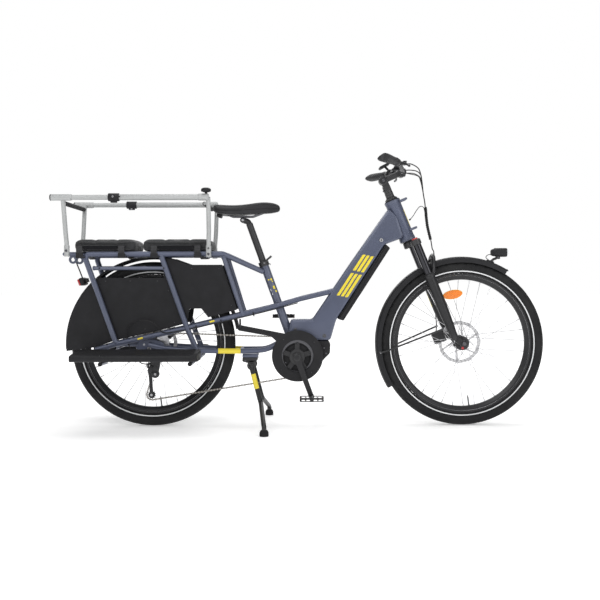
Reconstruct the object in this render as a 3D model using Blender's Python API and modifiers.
"""Long-tail cargo e-bike: named sub-parts for a jointed assembly.

Metres, +X forward, +Y left, +Z up; z = 0 is the ground under both tyres and
the two stand feet. Lengths below are in millimetres and turned into metres
by MM when a piece is finished. A two-number place is (x, z) in side view.
"""
import math

import bmesh
import bpy
from mathutils import Matrix, Vector

for old in list(bpy.data.objects):
    bpy.data.objects.remove(old, do_unlink=True)

MM = 0.001
SIDES = {"left": 1, "right": -1}  # sign of y on each side

# ---- driving dimensions, mm -------------------------------------------------
TYRE_R = 339.5
REAR_AXLE = (-619.0, TYRE_R)
FRONT_AXLE = (658.0, TYRE_R)
BB = (-23.6, 287.0)  # crank axis
RIGHT_PEDAL = (34.2, 130.0)  # the right crank points here from BB
CRANK_LEN = 170.0

HEAD_TOP = (372.0, 929.9)
STEER_UP = Vector((-0.3735, 0.0, 0.9277))  # up the steering axis
HEAD_LEN = 179.0
HEAD_R = 33.0
STEERER_R = 14.3
STANCHION_R = 17.0
LEG_Y = 68.0
LEG_AHEAD = 19.0  # fork legs ahead of the steering axis
CROWN = -197.0  # along the steering axis from HEAD_TOP
LOWERS_TOP = -338.0
STEM_PIVOT = (335.9, 1013.4)
BAR_CLAMP = (410.8, 1046.7)
LEVER_INNER = (384, 150, 1062.4)  # bar centreline inside the left brake perch
LEVER_OUTER = (371.2, 208, 1063.1)  # and outside it

DOWN_TUBE_LOW = (138.6, 438.6)  # lower edge of the frame's front beam
DOWN_TUBE_HIGH = (337.8, 746.6)
SEAT_TOP = (-160.8, 669.3)
POST_R = 14.0
POST_AXIS_LOW = Vector((-79.8, 0, 443.6))
POST_AXIS_HIGH = Vector((-167.9, 0, 689))
SADDLE_PIVOT = (-247.6, 854.3)

RACK_Y = 100.0
RAIL_Y = 180.0
RAIL_Z = 931.0
STAND_PIVOT = (-210.3, 251.2)
STAND_FOOT_X = -150
STAND_FOOT_Y = 266

CHAIN_Y = -52.0
CHAINRING_R = 79.0  # to the middle of the chain, like the next two radii
COG_R = 50.0
JOCKEY_R = 21.0
JOCKEY_UP = (-625.0, 252.0)
JOCKEY_LOW = (-619.4, 133.2)
WHEEL_INSET = 3.6  # toothed discs stop this far inside the chain's middle


# ---- mesh helpers -----------------------------------------------------------
def from_mesh(mesh):
    obj = bpy.data.objects.new("work", mesh)
    bpy.context.scene.collection.objects.link(obj)
    return obj


def from_bmesh(bm):
    """A mesh object with its faces turned outward."""
    bmesh.ops.recalc_face_normals(bm, faces=bm.faces)
    if bm.calc_volume(signed=True) < 0:
        bmesh.ops.reverse_faces(bm, faces=bm.faces)
    mesh = bpy.data.meshes.new("work")
    bm.to_mesh(mesh)
    bm.free()
    return from_mesh(mesh)


def baked(obj, weld=0.01):
    """The object's evaluated shape as a plain mesh object at world position."""
    bpy.context.view_layer.update()
    graph = bpy.context.evaluated_depsgraph_get()
    mesh = bpy.data.meshes.new_from_object(obj.evaluated_get(graph))
    mesh.transform(obj.matrix_world)
    bm = bmesh.new()
    bm.from_mesh(mesh)
    bmesh.ops.remove_doubles(bm, verts=bm.verts, dist=weld)
    bpy.data.objects.remove(obj, do_unlink=True)
    return from_bmesh(bm)


def along(start, end):
    """Matrix that lays a centred Z-axis solid between two points."""
    turn = (end - start).to_track_quat("Z", "Y").to_matrix().to_4x4()
    return Matrix.Translation((start + end) / 2) @ turn


def cyl(start, end, radius, end_radius=None, seg=16):
    start, end = Vector(start), Vector(end)
    bm = bmesh.new()
    bmesh.ops.create_cone(
        bm,
        cap_ends=True,
        segments=seg,
        radius1=radius,
        radius2=radius if end_radius is None else end_radius,
        depth=(end - start).length,
    )
    bm.transform(along(start, end))
    return from_bmesh(bm)


def at_y(place, y=0.0):
    """The 3D point of an (x, z) place."""
    return (place[0], y, place[1])


def ycyl(centre, y0, y1, radius, end_radius=None, seg=20):
    """A cylinder or cone along Y about an (x, z) centre."""
    return cyl(at_y(centre, y0), at_y(centre, y1), radius, end_radius, seg)


def box(centre, size, tilt=0.0, bevel=0.0, seg=1):
    """A box turned by tilt degrees about +Y, with rounded edges."""
    bm = bmesh.new()
    bmesh.ops.create_cube(bm, size=1.0)
    bmesh.ops.scale(bm, verts=bm.verts, vec=Vector(size))
    if bevel:
        bmesh.ops.bevel(bm, geom=bm.edges[:], offset=bevel, segments=seg, affect="EDGES")
    turn = Matrix.Rotation(math.radians(tilt), 4, "Y")
    bm.transform(Matrix.Translation(Vector(centre)) @ turn)
    return from_bmesh(bm)


def tube(points, radius, res=2):
    """A round tube along straight runs between points."""
    curve = bpy.data.curves.new("work", "CURVE")
    curve.dimensions = "3D"
    spline = curve.splines.new("POLY")
    spline.points.add(len(points) - 1)
    for slot, point in zip(spline.points, points):
        slot.co = (*point, 1.0)
    curve.bevel_depth = radius
    curve.bevel_resolution = res
    curve.use_fill_caps = True
    return baked(from_mesh(curve))


def mirrored(points, side):
    """Left-side points put on the given side."""
    return [(x, y * side, z) for x, y, z in points]


def side_tube(side, points, radius, res=2):
    return tube(mirrored(points, side), radius, res)


def lie_in_side_view(obj, x, y, z):
    """Turn an object's XY plane into the bike's XZ plane."""
    turn = Matrix.Rotation(math.radians(90), 4, "X")
    obj.matrix_world = Matrix.Translation((x, y, z)) @ turn


def plate(outlines, y0, y1, bevel=0.0):
    """A flat plate: outline points are (x, z); later outlines are holes."""
    curve = bpy.data.curves.new("work", "CURVE")
    curve.dimensions = "2D"
    curve.fill_mode = "BOTH"
    curve.extrude = abs(y1 - y0) / 2
    for outline in outlines:
        spline = curve.splines.new("POLY")
        spline.points.add(len(outline) - 1)
        for slot, (x, z) in zip(spline.points, outline):
            slot.co = (x, z, 0.0, 1.0)
        spline.use_cyclic_u = True
    obj = from_mesh(curve)
    lie_in_side_view(obj, 0, (y0 + y1) / 2, 0)
    out = baked(obj)
    if bevel:
        edge = out.modifiers.new("edge", "BEVEL")
        edge.width = bevel
        edge.segments = 2
        edge.limit_method = "ANGLE"
        edge.angle_limit = math.radians(40)
        out = baked(out)
    return out


def ring(centre, radius, steps, start=0.0, end=360.0):
    """(x, z) points on a circle, or on an arc with both its ends."""
    count = steps if end - start >= 359.9 else steps + 1
    angles = [math.radians(start + (end - start) * i / steps) for i in range(count)]
    return [
        (centre[0] + radius * math.cos(angle), centre[1] + radius * math.sin(angle))
        for angle in angles
    ]


def revolve(profile, centre, steps):
    """A closed (radius, y) profile turned about the Y line through centre."""
    bm = bmesh.new()
    verts = [bm.verts.new((r, 0.0, -y)) for r, y in profile]
    for a, b in zip(verts, verts[1:] + verts[:1]):
        bm.edges.new((a, b))
    mesh = bpy.data.meshes.new("work")
    bm.to_mesh(mesh)
    bm.free()
    obj = from_mesh(mesh)
    screw = obj.modifiers.new("turn", "SCREW")
    screw.axis = "Z"
    screw.steps = steps
    screw.render_steps = steps
    screw.use_merge_vertices = True
    screw.merge_threshold = 0.0001
    lie_in_side_view(obj, centre[0], 0, centre[1])
    return baked(obj)


def loft(rings):
    """A solid through matching rings of points, closed at both ends."""
    bm = bmesh.new()
    rows = [[bm.verts.new(p) for p in points] for points in rings]
    for one, two in zip(rows, rows[1:]):
        for i in range(len(one)):
            j = (i + 1) % len(one)
            bm.faces.new((one[i], one[j], two[j], two[i]))
    bm.faces.new(rows[0][::-1])
    bm.faces.new(rows[-1])
    return from_bmesh(bm)


def joined(parts, operation):
    base = parts[0]
    for other in parts[1:]:
        step = base.modifiers.new("step", "BOOLEAN")
        step.operation = operation
        step.solver = "EXACT"
        step.object = other
        base = baked(base, 0.002)
        bpy.data.objects.remove(other, do_unlink=True)
    return base


def fuse(*parts):
    return joined(parts, "UNION")


def cut(base, *tools):
    return joined([base, *tools], "DIFFERENCE")


def steer_xz(distance, ahead=0.0):
    """(x, z) a distance up the steering axis from the head tube's top."""
    return (
        HEAD_TOP[0] + STEER_UP.x * distance + STEER_UP.z * ahead,
        HEAD_TOP[1] + STEER_UP.z * distance - STEER_UP.x * ahead,
    )


def steer(distance, ahead=0.0, y=0.0):
    return at_y(steer_xz(distance, ahead), y)


BIKE = bpy.data.collections.new("cargo_bicycle")
bpy.context.scene.collection.children.link(BIKE)


def add_piece(name, obj, mat, origin=(0.0, 0.0, 0.0)):
    """Name, scale, colour and shade a finished shape, with its origin moved."""
    origin = Vector(origin)
    obj.name = name
    obj.data.name = name
    obj.data.transform(Matrix.Translation(-origin))
    obj.data.transform(Matrix.Scale(MM, 4))
    obj.location = origin * MM
    obj.data.materials.clear()
    obj.data.materials.append(mat)
    bm = bmesh.new()
    bm.from_mesh(obj.data)
    for face in bm.faces:
        face.smooth = True
    for edge in bm.edges:
        if len(edge.link_faces) == 2 and edge.calc_face_angle() > math.radians(38):
            edge.smooth = False
    bm.to_mesh(obj.data)
    bm.free()
    bpy.context.scene.collection.objects.unlink(obj)
    BIKE.objects.link(obj)


# ---- materials --------------------------------------------------------------
def material(name, colour, metallic, roughness):
    mat = bpy.data.materials.new(name)
    mat.use_nodes = True
    shader = mat.node_tree.nodes["Principled BSDF"]
    shader.inputs["Base Color"].default_value = (*colour, 1.0)
    shader.inputs["Metallic"].default_value = metallic
    shader.inputs["Roughness"].default_value = roughness
    mat.diffuse_color = (*colour, 1.0)
    return mat


FRAME_PAINT = material(
    "frame_paint", colour=(0.085, 0.105, 0.19), metallic=0.35, roughness=0.45)
RAIL_PAINT = material("rail_paint", colour=(0.56, 0.57, 0.58), metallic=0.3, roughness=0.4)
PLASTIC = material("black_plastic", colour=(0.015, 0.015, 0.017), metallic=0.0, roughness=0.5)
ALLOY = material("black_alloy", colour=(0.02, 0.02, 0.022), metallic=0.6, roughness=0.4)
STEEL = material("bright_steel", colour=(0.6, 0.6, 0.61), metallic=1.0, roughness=0.28)
DARK_STEEL = material("dark_steel", colour=(0.16, 0.16, 0.17), metallic=1.0, roughness=0.35)
RUBBER = material("tyre_rubber", colour=(0.02, 0.02, 0.02), metallic=0.0, roughness=0.8)
GRIP_RUBBER = material("grip_rubber", colour=(0.02, 0.02, 0.022), metallic=0.0, roughness=0.7)
PAD_COVER = material("pad_cover", colour=(0.025, 0.03, 0.032), metallic=0.0, roughness=0.75)
SADDLE_COVER = material(
    "saddle_cover", colour=(0.018, 0.018, 0.02), metallic=0.0, roughness=0.6)
LENS_RED = material("lens_red", colour=(0.5, 0.01, 0.01), metallic=0.0, roughness=0.15)

# ---- frame ------------------------------------------------------------------
# (x, z) outline of the central frame body
BODY_OUTLINE = [
    (356, 897), (200, 674.5), (39.5, 438.9), (16, 440), (-50, 440), (-62, 372),
    (-48, 353), (114, 353), DOWN_TUBE_LOW, DOWN_TUBE_HIGH, (418, 776), (392, 860),
]
# left-side tube centrelines, (x, y, z)
RACK_TUBE = [
    (-754.5, RACK_Y, 345.6), (-868, RACK_Y, 662), (-878, RACK_Y, 694), (-871, RACK_Y, 705),
    (-858, RACK_Y, 708), (-330, RACK_Y, 708.8), (-306, RACK_Y * 0.97, 703), (-165.5, 14, 637.5),
]
MID_TUBE = [
    (-837.5, RACK_Y, 322), (-755, RACK_Y, 345), (-462.6, 96, 410), (-256.5, 76, 460),
    (-113.6, 45, 494.6), (-10.8, 36, 524), (108, 28, 552),
]
CHAINSTAY = [
    (-626, 81.5, 341), (-560, 83, 326), (-428, 85, 316), (-248, 62, 312),
    (-150, 38, 314), (-90, 33, 346), (-45, 27, 380),
]
# (x, z) outline of the plate at the rear axle
DROPOUT = [
    (-676, 322), (-600, 318), (-566, 322), (-566, 348), (-604, 362), (-655, 362), (-686, 345),
]
# centreline of the loop under the deck, (x, y, z)
DECK_LOOP = [
    (-338, 56, 709), (-955, 56, 711), (-972, 50, 711), (-980, 34, 711), (-980, -34, 711),
    (-972, -50, 711), (-955, -56, 711), (-338, -56, 709),
]


def frame_side(side):
    """The frame's parts on one side, in the order they are fused."""
    head_x, head_z = steer_xz(0)
    foot_x, foot_z = steer_xz(-HEAD_LEN)
    lug = (-940.7, 688)
    return [
        side_tube(side, RACK_TUBE, 11),
        # two struts under the deck
        side_tube(side, [(-572.7, RACK_Y, 705), (-466.4, RACK_Y, 405), (-430, 87, 316)], 11),
        side_tube(side, [(-320, RACK_Y, 700), (-243, 74, 458)], 9.5),
        side_tube(side, MID_TUBE, 10.5),
        side_tube(side, [(-843, RACK_Y, 652), (-556, RACK_Y, 652)], 8),
        side_tube(side, CHAINSTAY, 10.5),
        plate([DROPOUT], 69.5 * side, 77.5 * side),
        side_tube(side, [(-672, 74, 342), (-770, 88, 341)], 8),
        # the running board's two outriggers
        side_tube(
            side, [(-790, RACK_Y, 336), (-790, 104, 300), (-790, 118, 275.5), (-790, 232, 275.5)],
            8.5,
        ),
        side_tube(
            side, [(-440, 88, 320), (-440, 102, 290), (-440, 116, 275.5), (-440, 232, 275.5)],
            8.5,
        ),
        # two short bars on the front of the head tube
        side_tube(side, [(head_x - 2, 25, head_z - 22), (424.7, 25, 925)], 5),
        side_tube(side, [(foot_x - 22, 25, foot_z + 62), (468, 25, 826)], 5),
        ycyl((-377, 707), RACK_Y * side, 113.5 * side, 9, seg=12),
        side_tube(side, [(-905, 60, 712), (-905, 96, 708), (-866, RACK_Y, 704)], 7),
        plate([ring(lug, 17, 16), ring(lug, 8, 12)], 47 * side, 57 * side),
    ]


def main_frame():
    frame = fuse(
        plate([BODY_OUTLINE], -39, 39, 11),
        cyl(steer(-HEAD_LEN), steer(0), HEAD_R, seg=24),
        # seat tube and its collar
        cyl((-48.3, 0, 356), at_y(SEAT_TOP), 17.5, seg=20),
        cyl((-157.4, 0, 660), (-164.4, 0, 679.5), 21.5, seg=20),
        *frame_side(1),
        *frame_side(-1),
        tube(DECK_LOOP, 8.5),
        # cross tubes: deck front, deck rear, mid tubes, chainstays
        tube([(-338, -RACK_Y, 708.5), (-338, RACK_Y, 708.5)], 8.5),
        tube([(-905, -62, 712), (-905, 62, 712)], 7),
        tube([(-252, -76, 459), (-252, 76, 459)], 9),
        tube([(-254, -62, 312), (-254, 62, 312)], 9),
    )
    steerer_bore = cyl(steer(-200), steer(20), STEERER_R + 0.7, seg=20)
    post_bore = cyl(POST_AXIS_LOW, POST_AXIS_HIGH, POST_R + 0.5, seg=20)
    add_piece("main_frame", cut(frame, steerer_bore, post_bore), FRAME_PAINT)


def drive_unit():
    outline = [
        (-38, 351), (-58, 341), (-76, 326), (-90, 296), (-94, 272), (-76, 240), (-40, 218),
        (10, 216), (62, 246), (89, 277), (112, 300), (114, 340), (106, 351),
    ]
    housing = fuse(plate([outline], -40, 40, 8), ycyl(BB, 30, 62, 46, 40, seg=28))
    add_piece("drive_unit", cut(housing, ycyl(BB, -80, 80, 13)), PLASTIC)


def chain_guard():
    centre = (-21.6, 291.6)
    y0, y1 = -65, -60.5
    tail = [(-95, 340), (-62, 381), (-262, 420), (-270, 408), (-262, 396), (-130, 372)]
    guard = fuse(
        plate([ring(centre, 105, 40), ring(centre, 65, 28)], y0, y1),
        plate([tail], y0, y1),
        tube([(-255, -62.5, 408), (-255, -71, 412), (-255, -71, 444)], 4),
    )
    add_piece("chain_guard", guard, PLASTIC)


# ---- rear end ---------------------------------------------------------------
def derailleur():
    hanger = [(-636, 316), (-614, 315), (-592, 285), (-584, 262), (-604, 252), (-616, 282)]
    cage = ring(JOCKEY_UP, 16, 10, 20, 180) + ring(JOCKEY_LOW, 14, 10, 180, 380)
    body = fuse(
        plate([hanger], -84, -78.3),
        box((-600, -70, 268), (34, 22, 26), tilt=25, bevel=4),
        plate([cage], -60.8, -57.2),
        box((-608, -62, 258), (22, 8, 20), bevel=2),
    )
    add_piece("derailleur", body, PLASTIC)


def rear_brake_caliper():
    tilt = -32
    body = box((-557, 57, 378), (52, 19.5, 34), tilt, bevel=4)
    slot = box((-574.5, 57, 367.3), (80, 5, 60), tilt)
    add_piece("rear_brake_caliper", cut(body, slot), ALLOY)


def fender(centre, radius, half, skirt, start, end, steps):
    """A curved mudguard: a thin channel round the wheel from start to end deg."""
    thick = 2.2
    # cross-section as (radius, y): outer skin, then back along the inner one
    section = [
        (radius - skirt, -half), (radius - 9, -half), (radius - 2, -half + 9), (radius, 0),
        (radius - 2, half - 9), (radius - 9, half), (radius - skirt, half),
        (radius - skirt, half - thick), (radius - 9, half - thick),
        (radius - 2 - thick, half - 10), (radius - thick, 0),
        (radius - 2 - thick, -half + 10), (radius - 9, -half + thick),
        (radius - skirt, -half + thick),
    ]
    rings = []
    for i in range(steps + 1):
        angle = math.radians(start + (end - start) * i / steps)
        c, s = math.cos(angle), math.sin(angle)
        rings.append([(centre[0] + r * c, y, centre[1] + r * s) for r, y in section])
    return loft(rings)


def rear_fender():
    guard = fender(REAR_AXLE, radius=362.0, half=36, skirt=12, start=183, end=10, steps=30)
    add_piece("rear_fender", guard, PLASTIC)


def rear_light():
    lens = box((-921, 0, 597), (20, 62, 30), tilt=-20, bevel=4)
    bracket = tube([(-912, 0, 600), (-926, 0, 640), (-950, 0, 700.5)], 4)
    add_piece("rear_light", fuse(lens, bracket), LENS_RED)


def side_panels():
    outline = ring(REAR_AXLE, 342, 20, 184, 127) + [
        (-564, 613), (-562, 692), (-535, 692), (-459, 665), (-327, 665), (-267, 482),
        (-384, 451), (-412, 487), (-461, 487), (-470, 428), (-560, 404), (-755, 360), (-850, 330),
    ]
    for name, side in SIDES.items():
        add_piece("side_panel_" + name, plate([outline], 81.5 * side, 84.5 * side), PLASTIC)


def running_boards():
    # x and how far the section shrinks there, for the chamfered ends
    stations = [(-903, 6), (-895, 0), (-416, 0), (-408, 6)]
    for name, side in SIDES.items():
        rings = []
        for x, d in stations:
            section = [
                (x, 130 + d, 293), (x, 137 + d, 287), (x, 262 - d, 287), (x, 270 - d, 293),
                (x, 270 - d, 304), (x, 262 - d, 311), (x, 140 + d, 327 - d), (x, 130 + d, 321 - d),
            ]
            rings.append(mirrored(section, side))
        add_piece("running_board_" + name, loft(rings), PLASTIC)


def cushion(rear_x, front_x):
    """A seat pad: a soft-edged block, widest at the middle of its height."""
    corner = 16
    rings = []
    for z, inset in ((721, 9), (725, 2), (742, 0), (757, 2), (764, 7), (768, 18)):
        w = 106 - inset
        a, b = rear_x + inset, front_x - inset
        outline = [
            (a, -w + corner), (a + corner, -w), (b - corner, -w), (b, -w + corner),
            (b, w - corner), (b - corner, w), (a + corner, w), (a, w - corner),
        ]
        rings.append([(x, y, z) for x, y in outline])
    return loft(rings)


def seat_pads():
    notches = [box((-815.5, 112 * side, 737), (103, 22, 16)) for side in (1, -1)]
    add_piece("seat_pad_rear", cut(cushion(-935, -665), *notches), PAD_COVER)
    add_piece("seat_pad_front", cushion(-658.5, -357), PAD_COVER)


# ---- stand ------------------------------------------------------------------
def kickstand():
    x, z = STAND_PIVOT
    origin = at_y(STAND_PIVOT)
    cheek = [(-248, 294), (-184, 294), (-192, 242), (-228, 240), (-250, 262)]
    mount = fuse(
        box((-216, 0, 286), (64, 104, 28), bevel=4),
        *[plate([cheek], 36 * side, 46 * side) for side in (1, -1)],
    )
    pivot_bore = ycyl(STAND_PIVOT, -60, 60, 9.7, seg=16)
    add_piece("kickstand_mount", cut(mount, pivot_bore), FRAME_PAINT)

    leg = [
        (x, 67, z), (x + 1, 69, z - 6), (-176, 70, 116), (-171, 78, 101), (-152, 258, 43),
        (STAND_FOOT_X, STAND_FOOT_Y, 36), (STAND_FOOT_X, STAND_FOOT_Y, 24.6),
    ]
    legs = fuse(
        ycyl(STAND_PIVOT, -69, 69, 9, seg=16),
        *[side_tube(side, leg, 9.5) for side in (1, -1)],
        *[box((x + 1, 57.5 * side, z - 4), (20, 14, 22), -15, 3) for side in (1, -1)],
    )
    add_piece("kickstand_legs", legs, ALLOY, origin)

    for name, side in SIDES.items():
        foot_x, foot_y = STAND_FOOT_X, STAND_FOOT_Y * side
        foot = fuse(
            cyl((foot_x, foot_y, 0), (foot_x, foot_y, 18), 18, 17),
            cyl((foot_x, foot_y, 17), (foot_x, foot_y, 24), 17, 13),
        )
        add_piece("kickstand_foot_" + name, foot, RUBBER, origin)


# ---- wheels: closed profiles of (radius, y) ---------------------------------
TYRE = [
    (288.4, -17), (294, -24), (312, -30), (328, -27), (337, -15), (TYRE_R, 0),
    (337, 15), (328, 27), (312, 30), (294, 24), (288.4, 17),
]
RIM = [(288, -16.5), (288, 16.5), (279, 16.5), (262, 6), (262, -6), (279, -16.5)]
FRONT_HUB = [
    (0.0005, -50.5), (8, -50.5), (8, -40), (15, -36), (16, -30), (29, -29), (29, -25),
    (14, -22), (13, 0), (14, 22), (29, 25), (29, 29), (17, 30), (17, 42), (8, 43),
    (8, 50.5), (0.0005, 50.5),
]
REAR_HUB = [
    (0.0005, -66), (8, -66), (8, -64), (13.5, -63.5), (13.5, -27), (29, -26), (29, -22),
    (16, -19), (15, 0), (16, 26), (29, 29), (29, 33), (17, 34), (17, 61), (8, 62),
    (8, 68), (0.0005, 68),
]
CASSETTE = [
    (14.5, -31), (72, -31), (72, -34), (62, -35), (62, -39), (54, -40), (54, -46.5),
    (30, -47.5), (30, -50), (46, -50.4), (46, -53.6), (30, -54), (28, -61), (14.5, -62),
]


def rotor(centre, y0):
    """A brake disc: rim ring on six arms, cut from one plate."""
    windows = []
    for a in range(0, 360, 60):
        outer = ring(centre, 70, 5, a + 8, a + 52)
        inner = ring(centre, 27, 3, a + 44, a + 12)
        windows.append(outer + inner)
    return plate([ring(centre, 90, 40), *windows, ring(centre, 17.6, 18)], y0, y0 + 2)


def hub_and_spokes(centre, hub_profile, right_flange, left_flange):
    """Hub and 36 spokes as one piece; spokes alternate between the flanges."""
    x, z = centre
    spoke_r, inner_r, outer_r = 1.4, 25, 261.4
    rim_share = 0.12  # of the flange's y, kept at the rim
    hub = revolve(hub_profile, centre, 16)
    bm = bmesh.new()
    for i in range(36):
        angle = math.radians(10 * i + 2)
        y, lean = (right_flange, 26) if i % 2 == 0 else (left_flange, -26)
        foot = angle + math.radians(lean)
        start = Vector((x + inner_r * math.cos(foot), y, z + inner_r * math.sin(foot)))
        end = Vector((
            x + outer_r * math.cos(angle), y * rim_share, z + outer_r * math.sin(angle)))
        spoke = bmesh.ops.create_cone(
            bm, cap_ends=True, segments=3,
            radius1=spoke_r, radius2=spoke_r, depth=(end - start).length,
        )
        bmesh.ops.transform(bm, matrix=along(start, end), verts=spoke["verts"])
    return fuse(hub, from_bmesh(bm))


def wheels():
    for name, axle, hub, right_flange, left_flange, rotor_y in (
        ("front", FRONT_AXLE, FRONT_HUB, -27, 27, 38),
        ("rear", REAR_AXLE, REAR_HUB, -24, 31, 56),
    ):
        origin = at_y(axle)
        spokes = hub_and_spokes(axle, hub, right_flange, left_flange)
        add_piece(name + "_tyre", revolve(TYRE, axle, 56), RUBBER, origin)
        add_piece(name + "_rim", revolve(RIM, axle, 56), ALLOY, origin)
        add_piece(name + "_hub_spokes", spokes, STEEL, origin)
        add_piece(name + "_rotor", rotor(axle, rotor_y), STEEL, origin)
    add_piece("cassette", revolve(CASSETTE, REAR_AXLE, 28), DARK_STEEL, at_y(REAR_AXLE))


# ---- drivetrain -------------------------------------------------------------
def offset_outline(points, gap):
    """The closed outline moved sideways by gap."""
    out = []
    for i in range(len(points)):
        before, here = Vector(points[i - 1]), Vector(points[i])
        after = Vector(points[(i + 1) % len(points)])
        way = ((here - before).normalized() + (after - here).normalized()).normalized()
        out.append((here.x + way.y * gap, here.y - way.x * gap))
    return out


def chain():
    half_height, half_width = 3.0, 3.3
    middle = (
        ring(BB, CHAINRING_R, 20, 279, 447.8)
        + ring(REAR_AXLE, COG_R, 18, 87.8, 300)
        + ring(JOCKEY_UP, JOCKEY_R, 5, 20, -42)
        + ring(JOCKEY_LOW, JOCKEY_R, 8, 152, 272)
    )
    edges = [offset_outline(middle, half_height), offset_outline(middle, -half_height)]
    band = plate(edges, CHAIN_Y - half_width, CHAIN_Y + half_width)
    add_piece("chain", band, DARK_STEEL)


def chain_wheels():
    disc = plate([ring(BB, CHAINRING_R - WHEEL_INSET, 38)], CHAIN_Y - 1.6, CHAIN_Y + 1.6)
    boss = ycyl(BB, -58, -44, 34, seg=24)
    chainring = cut(fuse(disc, boss), ycyl(BB, -80, -30, 12.6))
    add_piece("chainring", chainring, DARK_STEEL, at_y(BB))
    for name, centre in (("jockey_upper", JOCKEY_UP), ("jockey_lower", JOCKEY_LOW)):
        jockey = ycyl(centre, -54.5, -50, JOCKEY_R - WHEEL_INSET, seg=22)
        add_piece(name, jockey, PLASTIC, at_y(centre))


# half the crank arm's outline: distance from BB along the arm, half width
CRANK_EDGE = [
    (-18, 8), (0, 18), (30, 14), (CRANK_LEN - 15, 11), (CRANK_LEN, 11), (CRANK_LEN + 11, 4),
]


def cranks_and_pedals():
    right_dir = Vector((RIGHT_PEDAL[0] - BB[0], RIGHT_PEDAL[1] - BB[1])).normalized()
    outline = CRANK_EDGE + [(out, -w) for out, w in CRANK_EDGE[::-1]]
    for name, side in SIDES.items():
        d = right_dir * -side
        tip = (BB[0] + d.x * CRANK_LEN, BB[1] + d.y * CRANK_LEN)
        points = [
            (BB[0] + d.x * out - d.y * w, BB[1] + d.y * out + d.x * w) for out, w in outline
        ]
        arm = plate([points], 84 * side, 98 * side, 2.5)
        if name == "right":
            # the right arm carries the axle
            arm = fuse(arm, ycyl(BB, -86, 83, 12))
        add_piece(name + "_crank", arm, ALLOY, at_y(BB))

        centre_y = 146 * side
        deck = box(at_y(tip, centre_y), (92, 78, 16), bevel=3)
        gaps = [box((tip[0] + dx, centre_y, tip[1]), (26, 56, 40)) for dx in (-25, 25)]
        spindle = ycyl(tip, 98.5 * side, 112 * side, 8, seg=12)
        add_piece("pedal_" + name, fuse(cut(deck, *gaps), spindle), PLASTIC, at_y(tip))


# ---- rails ------------------------------------------------------------------
FRONT_POST = [(-373, 178, 930), (-372.6, 168, 906), (-374, 142, 800), (-377, 125, 742),
              (-377, 125, 696)]
REAR_POST = [(-948, 178, 930), (-948, 168, 908), (-947, 142, 800), (-946.5, 125, 745),
             (-946.5, 125, 700)]


def rail_bar(side, x0, x1, radius):
    y = RAIL_Y * side
    return cyl((x0, y, RAIL_Z), (x1, y, RAIL_Z), radius)


def front_rail_side(side):
    lug = box((-745, RAIL_Y * side, RAIL_Z - 14), (26, 12, 16), bevel=2)
    return [
        # the rail, bored from its rear end
        cut(rail_bar(side, -767, -408, 12), rail_bar(side, -790, -655, 10.4)),
        rail_bar(side, -409, -369, 14),
        # the collar round its rear end
        cut(fuse(rail_bar(side, -766, -724, 16), lug), rail_bar(side, -790, -690, 11.2)),
        side_tube(side, FRONT_POST, 9),
        cyl((-377, 125 * side, 742), (-377, 125 * side, 695), 10.8),
    ]


def rear_rail_side(side):
    return [
        rail_bar(side, -975, -738, 10),
        rail_bar(side, -997.5, -912, 13),
        side_tube(side, REAR_POST, 9),
        cyl((-946.5, 125 * side, 745), (-946.5, 125 * side, 699), 10.8),
    ]


def rail_frames():
    # each crossbar comes first, so that each later piece meets what is there
    front_bar = tube([(-373, -169, 908), (-391, -146, 908), (-391, 146, 908), (-373, 169, 908)], 8)
    rear_bar = tube([(-948, -168, 910), (-948, 168, 910)], 8)
    front = fuse(front_bar, *front_rail_side(1), *front_rail_side(-1))
    rear = fuse(rear_bar, *rear_rail_side(1), *rear_rail_side(-1))
    add_piece("rail_front_frame", front, RAIL_PAINT)
    add_piece("rail_rear_frame", rear, RAIL_PAINT, (-748, 0, RAIL_Z))


def rail_levers():
    pivot = (-745, 932)
    outline = [
        (-752, 925), (-738, 925), (-718, 929), (-716, 935), (-738, 939), (-752, 939), (-757, 932),
    ]
    for name, side in SIDES.items():
        lever = fuse(
            plate([outline], 198 * side, 203 * side, 1),
            ycyl(pivot, 196.5 * side, 200 * side, 6, seg=12),
        )
        add_piece("rail_lever_" + name, lever, PLASTIC, at_y(pivot, 200 * side))


def rail_knob():
    x, y = -380.7, -RAIL_Y
    knob = fuse(
        cyl((x, y, 945.5), (x, y, 956), 6, seg=12),
        cyl((x, y, 954), (x, y, 968), 15, 13),
    )
    add_piece("rail_knob", knob, PLASTIC, (x, y, 956))


# ---- battery ----------------------------------------------------------------
def battery():
    up_tube = (Vector(DOWN_TUBE_HIGH) - Vector(DOWN_TUBE_LOW)).normalized()
    outward = Vector((up_tube.y, -up_tube.x))  # forward and down, off the tube
    low, high = Vector((146, 448.5)), Vector((336.5, 743.2))
    gap, depth = 1.0, 27
    corners = [
        low + outward * gap,
        high + outward * gap,
        high - up_tube * 4 + outward * depth,
        low + up_tube * 8 + outward * depth,
    ]
    add_piece("battery", plate([corners], -35, 35, 7), PLASTIC, at_y(corners[0]))


def battery_lock():
    centre = (324.6, 765)
    lock = fuse(ycyl(centre, -44, -39.4, 8, seg=16), box(at_y(centre, -45), (3, 4, 12)))
    add_piece("battery_lock", lock, DARK_STEEL, at_y(centre, -42))


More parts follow.
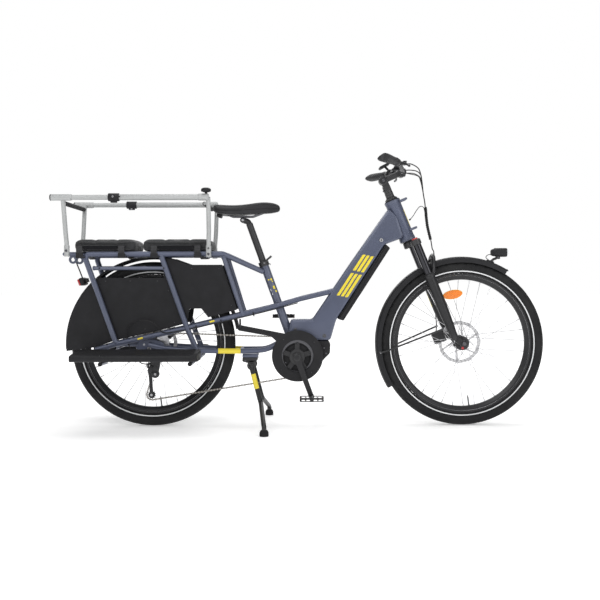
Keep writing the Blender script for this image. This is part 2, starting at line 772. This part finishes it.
# ---- seat -------------------------------------------------------------------
def seatpost():
    up = (POST_AXIS_HIGH - POST_AXIS_LOW).normalized()
    top = POST_AXIS_LOW + up * 418
    # head sections: half width, then lower and upper edge as x, z
    stations = [
        (13, top.x + 13, top.z - 12, top.x + 14, top.z + 6),
        (15, -240, 836, -236, 859),
        (14, -262, 844, -262, 860),
    ]
    head = loft([
        [(x0, -w, z0), (x0, w, z0), (x1, w, z1), (x1, -w, z1)] for w, x0, z0, x1, z1 in stations
    ])
    post = cyl(POST_AXIS_LOW + up * 150, top, POST_R, seg=20)
    add_piece("seatpost", fuse(post, head), ALLOY)


# x, half width, lowest z, edge z, top z; nose first
SADDLE = [
    (-93, 5, 893, 899, 905),
    (-100, 13, 886, 899, 914),
    (-130, 20, 880, 899, 924),
    (-170, 25, 878, 898, 926),
    (-215, 36, 876, 894, 919),
    (-255, 58, 874, 890, 913),
    (-295, 78, 870, 888, 911),
    (-330, 84, 872, 890, 913),
    (-355, 78, 878, 894, 914),
    (-368, 52, 890, 900, 911),
]


def saddle():
    rings = []
    for x, w, low, edge, top in SADDLE:
        shoulder = edge + (top - edge) * 0.7
        rings.append([
            (x, -w, edge), (x, -w * 0.86, shoulder), (x, -w * 0.45, top), (x, 0, top - 1.5),
            (x, w * 0.45, top), (x, w * 0.86, shoulder), (x, w, edge), (x, w * 0.8, low + 3),
            (x, w * 0.3, low), (x, -w * 0.3, low), (x, -w * 0.8, low + 3),
        ])
    rail = [(-160, 14.3, 891), (-205, 22, 865.5), (-290, 22, 865.5), (-338, 33.2, 889)]
    seat = fuse(loft(rings), *[side_tube(side, rail, 3.6) for side in (1, -1)])
    add_piece("saddle", seat, SADDLE_COVER, at_y(SADDLE_PIVOT))


def seat_clamp_lever():
    pivot = (-158, 672)
    lever = fuse(
        tube([at_y(pivot, -30), (-146, -31, 686), (-128, -31, 701)], 4.5),
        ycyl(pivot, -36, -24.5, 7, seg=12),
    )
    add_piece("seat_clamp_lever", lever, ALLOY, at_y(pivot, -30))


# ---- fork crown, stem and bars ----------------------------------------------
def fork_crown():
    parts = [
        cyl(steer(-208), steer(2.5), STEERER_R, seg=20),
        cyl(steer(CROWN - 12), steer(-182), 26, 24, seg=20),
    ]
    for side in (1, -1):
        y = LEG_Y * side
        parts += [
            cyl(steer(-400, LEG_AHEAD, y), steer(-184, LEG_AHEAD, y), STANCHION_R),
            cyl(steer(CROWN - 10, LEG_AHEAD, y), steer(-183, LEG_AHEAD, y), 21),
            tube([steer(CROWN - 1, 1), steer(CROWN - 1, 18, 62 * side)], 12),
        ]
    add_piece("fork_crown", fuse(*parts), ALLOY, at_y(HEAD_TOP))


def stem():
    cheeks = [
        fuse(
            ycyl(STEM_PIVOT, 12 * side, 18 * side, 18.5, seg=24),
            box(steer(64, 1.0, 14.6 * side), (26, 5.2, 34), tilt=-22, bevel=1.5),
        )
        for side in (1, -1)
    ]
    base = fuse(
        cyl(steer(3), steer(14), 27, 19, seg=24), cyl(steer(12), steer(66), 17, seg=20), *cheeks)
    add_piece("stem_base", base, ALLOY, at_y(HEAD_TOP))

    pivot, clamp = Vector(at_y(STEM_PIVOT)), Vector(at_y(BAR_CLAMP))
    reach = (clamp - pivot).normalized()
    arm = fuse(
        ycyl(STEM_PIVOT, -11.4, 11.4, 18, seg=24),
        tube([pivot + reach * 6, clamp - reach * 8], 11.2),
        ycyl(BAR_CLAMP, -22, 22, 20, seg=24),
    )
    bar_bore = ycyl(BAR_CLAMP, -40, 40, 16.3, seg=24)
    add_piece("stem_arm", cut(arm, bar_bore), ALLOY, at_y(STEM_PIVOT))


def handlebar():
    x, z = BAR_CLAMP
    left = [(x, 30, z), (x - 2, 60, z + 2), (388, 140, 1061), LEVER_INNER, (371.6, 206, 1063.1)]
    bar = tube(mirrored(left[::-1], -1) + left, 11.1, 3)
    sleeve = ycyl(BAR_CLAMP, -34, 34, 15.8)
    add_piece("handlebar", fuse(bar, sleeve), ALLOY, at_y(STEM_PIVOT))


# share of the grip's length from its inner end, radius, rearward wing
GRIP = [
    (0, 15, 0), (0.03, 17, 0), (0.1, 16, 0), (0.35, 16.5, 5),
    (0.6, 17, 16), (0.85, 17.5, 26), (0.97, 16, 24), (1, 12, 16),
]
GRIP_END_Y = 342  # the grip's outer end is kept inside this


def grips():
    for name, side in SIDES.items():
        inner, outer = Vector((367.5, 217 * side, 1063.2)), Vector((308.5, 341.0 * side, 1065))
        axis = (outer - inner).normalized()
        back = Vector((-1, 0, -0.15))
        across = (back - axis * back.dot(axis)).normalized()
        up = axis.cross(across).normalized()
        if up.z < 0:
            up = -up
        rings = []
        for share, radius, wing in GRIP:
            centre = inner + (outer - inner) * share
            points = []
            for k in range(12):
                angle = 2 * math.pi * k / 12
                u, v = math.cos(angle), math.sin(angle)
                # the wing reaches back and thins as it goes
                reach = radius + wing * max(0, u)
                lift = radius * (1 - 0.45 * max(0, u) * (wing / 26))
                p = centre + across * (u * reach) + up * (v * lift)
                points.append((p.x, max(min(p.y, GRIP_END_Y), -GRIP_END_Y), p.z))
            rings.append(points)
        add_piece("grip_" + name, loft(rings), GRIP_RUBBER, at_y(STEM_PIVOT))


def brake_levers():
    for name, side in SIDES.items():
        inner, outer = [Vector(p) for p in mirrored([LEVER_INNER, LEVER_OUTER], side)]
        axis = (outer - inner).normalized()
        mid = inner + axis * 34
        perch = fuse(
            cyl(mid - axis * 9, mid + axis * 9, 16),
            box((mid.x + 21, mid.y, mid.z - 1), (22, 18, 14), bevel=3),
            tube([(mid.x + 28, mid.y + 6 * side, mid.z),
                  (mid.x + 30, mid.y - 36 * side, mid.z + 1)], 7),
        )
        bar_bore = cyl(inner - axis * 30, outer + axis * 30, 11.8)
        add_piece("brake_perch_" + name, cut(perch, bar_bore), ALLOY, at_y(STEM_PIVOT))

        x, y, z = mid.x + 27, mid.y + 18 * side, mid.z - 4
        # blade centreline from its pivot, (x, y outward, z)
        blade = [(-3, -3, 0), (6, 8, -4), (12, 30, -12), (8, 62, -17)]
        points = [(x + dx, y + dy * side, z + dz) for dx, dy, dz in blade]
        add_piece("brake_blade_" + name, tube(points, 4.6), ALLOY, (x, y, z))


def shifter_lever():
    lever = fuse(
        box((372, -163, 1039), (30, 22, 10), bevel=3),
        box((352, -166, 1037), (22, 9, 5), bevel=1),
    )
    add_piece("shifter_lever", lever, PLASTIC, (382, -163, 1039))


def display():
    inner, outer = Vector(LEVER_INNER), Vector(LEVER_OUTER)
    body = fuse(
        cyl((381.9, 159, 1062.5), (380.1, 167, 1062.6), 14.5),
        tube([(378, 165, 1070), (358, 165, 1097)], 5),
        box((356, 165, 1096), (48, 62, 10), tilt=-28, bevel=3),
    )
    bar_bore = cyl(inner + (inner - outer) * 0.4, outer, 11.8)
    add_piece("display", cut(body, bar_bore), PLASTIC, at_y(STEM_PIVOT))


# ---- fork lowers, front mudguard, light -------------------------------------
# distance along the steering axis, radius
LEG_STATIONS = [
    (-626, 12), (-621, 14.8), (-570, 17.5), (-500, 21.5),
    (LOWERS_TOP - 16, 21.5), (LOWERS_TOP - 12, 23), (LOWERS_TOP, 22.6),
]
# left half of the arch between the legs: distance along, ahead, y
ARCH = [(LOWERS_TOP - 14, 33, 66), (-312, 48, 62), (-286, 62, 44), (-277, 67, 20)]


def lower_leg(side):
    """A tapering round leg with a plate at the axle."""
    y = LEG_Y * side
    angles = [k * math.pi / 10 + 0.1 for k in range(20)]
    rings = [
        [steer(up, LEG_AHEAD + r * math.cos(a), y + r * math.sin(a)) for a in angles]
        for up, r in LEG_STATIONS
    ]
    axle_plate = ring(FRONT_AXLE, 15, 16, -120, 100) + [steer_xz(-590, 8), steer_xz(-622, 10)]
    return fuse(loft(rings), plate([axle_plate], 58 * side, 72 * side))


def fork_lowers():
    arch = [steer(*p) for p in ARCH] + [steer(up, ahead, -y) for up, ahead, y in ARCH[::-1]]
    bores = [
        cyl(steer(-480, LEG_AHEAD, y), steer(-300, LEG_AHEAD, y), STANCHION_R + 0.7, seg=20)
        for y in (LEG_Y, -LEG_Y)
    ]
    lowers = cut(fuse(tube(arch, 9), lower_leg(1), lower_leg(-1)), *bores)
    add_piece("fork_lowers", lowers, ALLOY, at_y(FRONT_AXLE))


def front_fender():
    stay = [(321, 34.4, 302), (345, 44, 309), (556, 93, 397), (573, 93.5, 404)]
    guard = fuse(
        fender(FRONT_AXLE, radius=358.0, half=35, skirt=25, start=58, end=211, steps=28),
        *[side_tube(side, stay, 3.2, 1) for side in (1, -1)],
        # the curved arm from the front tip up to the headlight
        tube([(845, 0, 636), (852, 0, 650), (846, 0, 668), (824, 0, 686)], 5),
    )
    add_piece("front_fender", guard, PLASTIC, at_y(FRONT_AXLE))


def headlight():
    body = box((822, 0, 714), (60, 46, 37), bevel=8, seg=2)
    back = cyl((800, 0, 714), (781.5, 0, 714), 17, 12)
    add_piece("headlight", fuse(body, back), PLASTIC, (817.5, 0, 714))


def front_brake_caliper():
    tilt = -22
    body = box((572.7, 40, 361.1), (50, 26, 50), tilt, bevel=4)
    slot = box((581, 39, 364.5), (60, 5.4, 80), tilt)
    add_piece("front_brake_caliper", cut(body, slot), ALLOY, at_y(FRONT_AXLE))


for build in (
    main_frame, drive_unit, chain_guard,
    derailleur, rear_brake_caliper, rear_fender, rear_light,
    side_panels, running_boards, seat_pads, kickstand,
    wheels, chain, chain_wheels, cranks_and_pedals,
    rail_frames, rail_levers, rail_knob, battery, battery_lock,
    seatpost, saddle, seat_clamp_lever,
    fork_crown, stem, handlebar, grips, brake_levers, shifter_lever, display,
    fork_lowers, front_fender, headlight, front_brake_caliper,
):
    build()
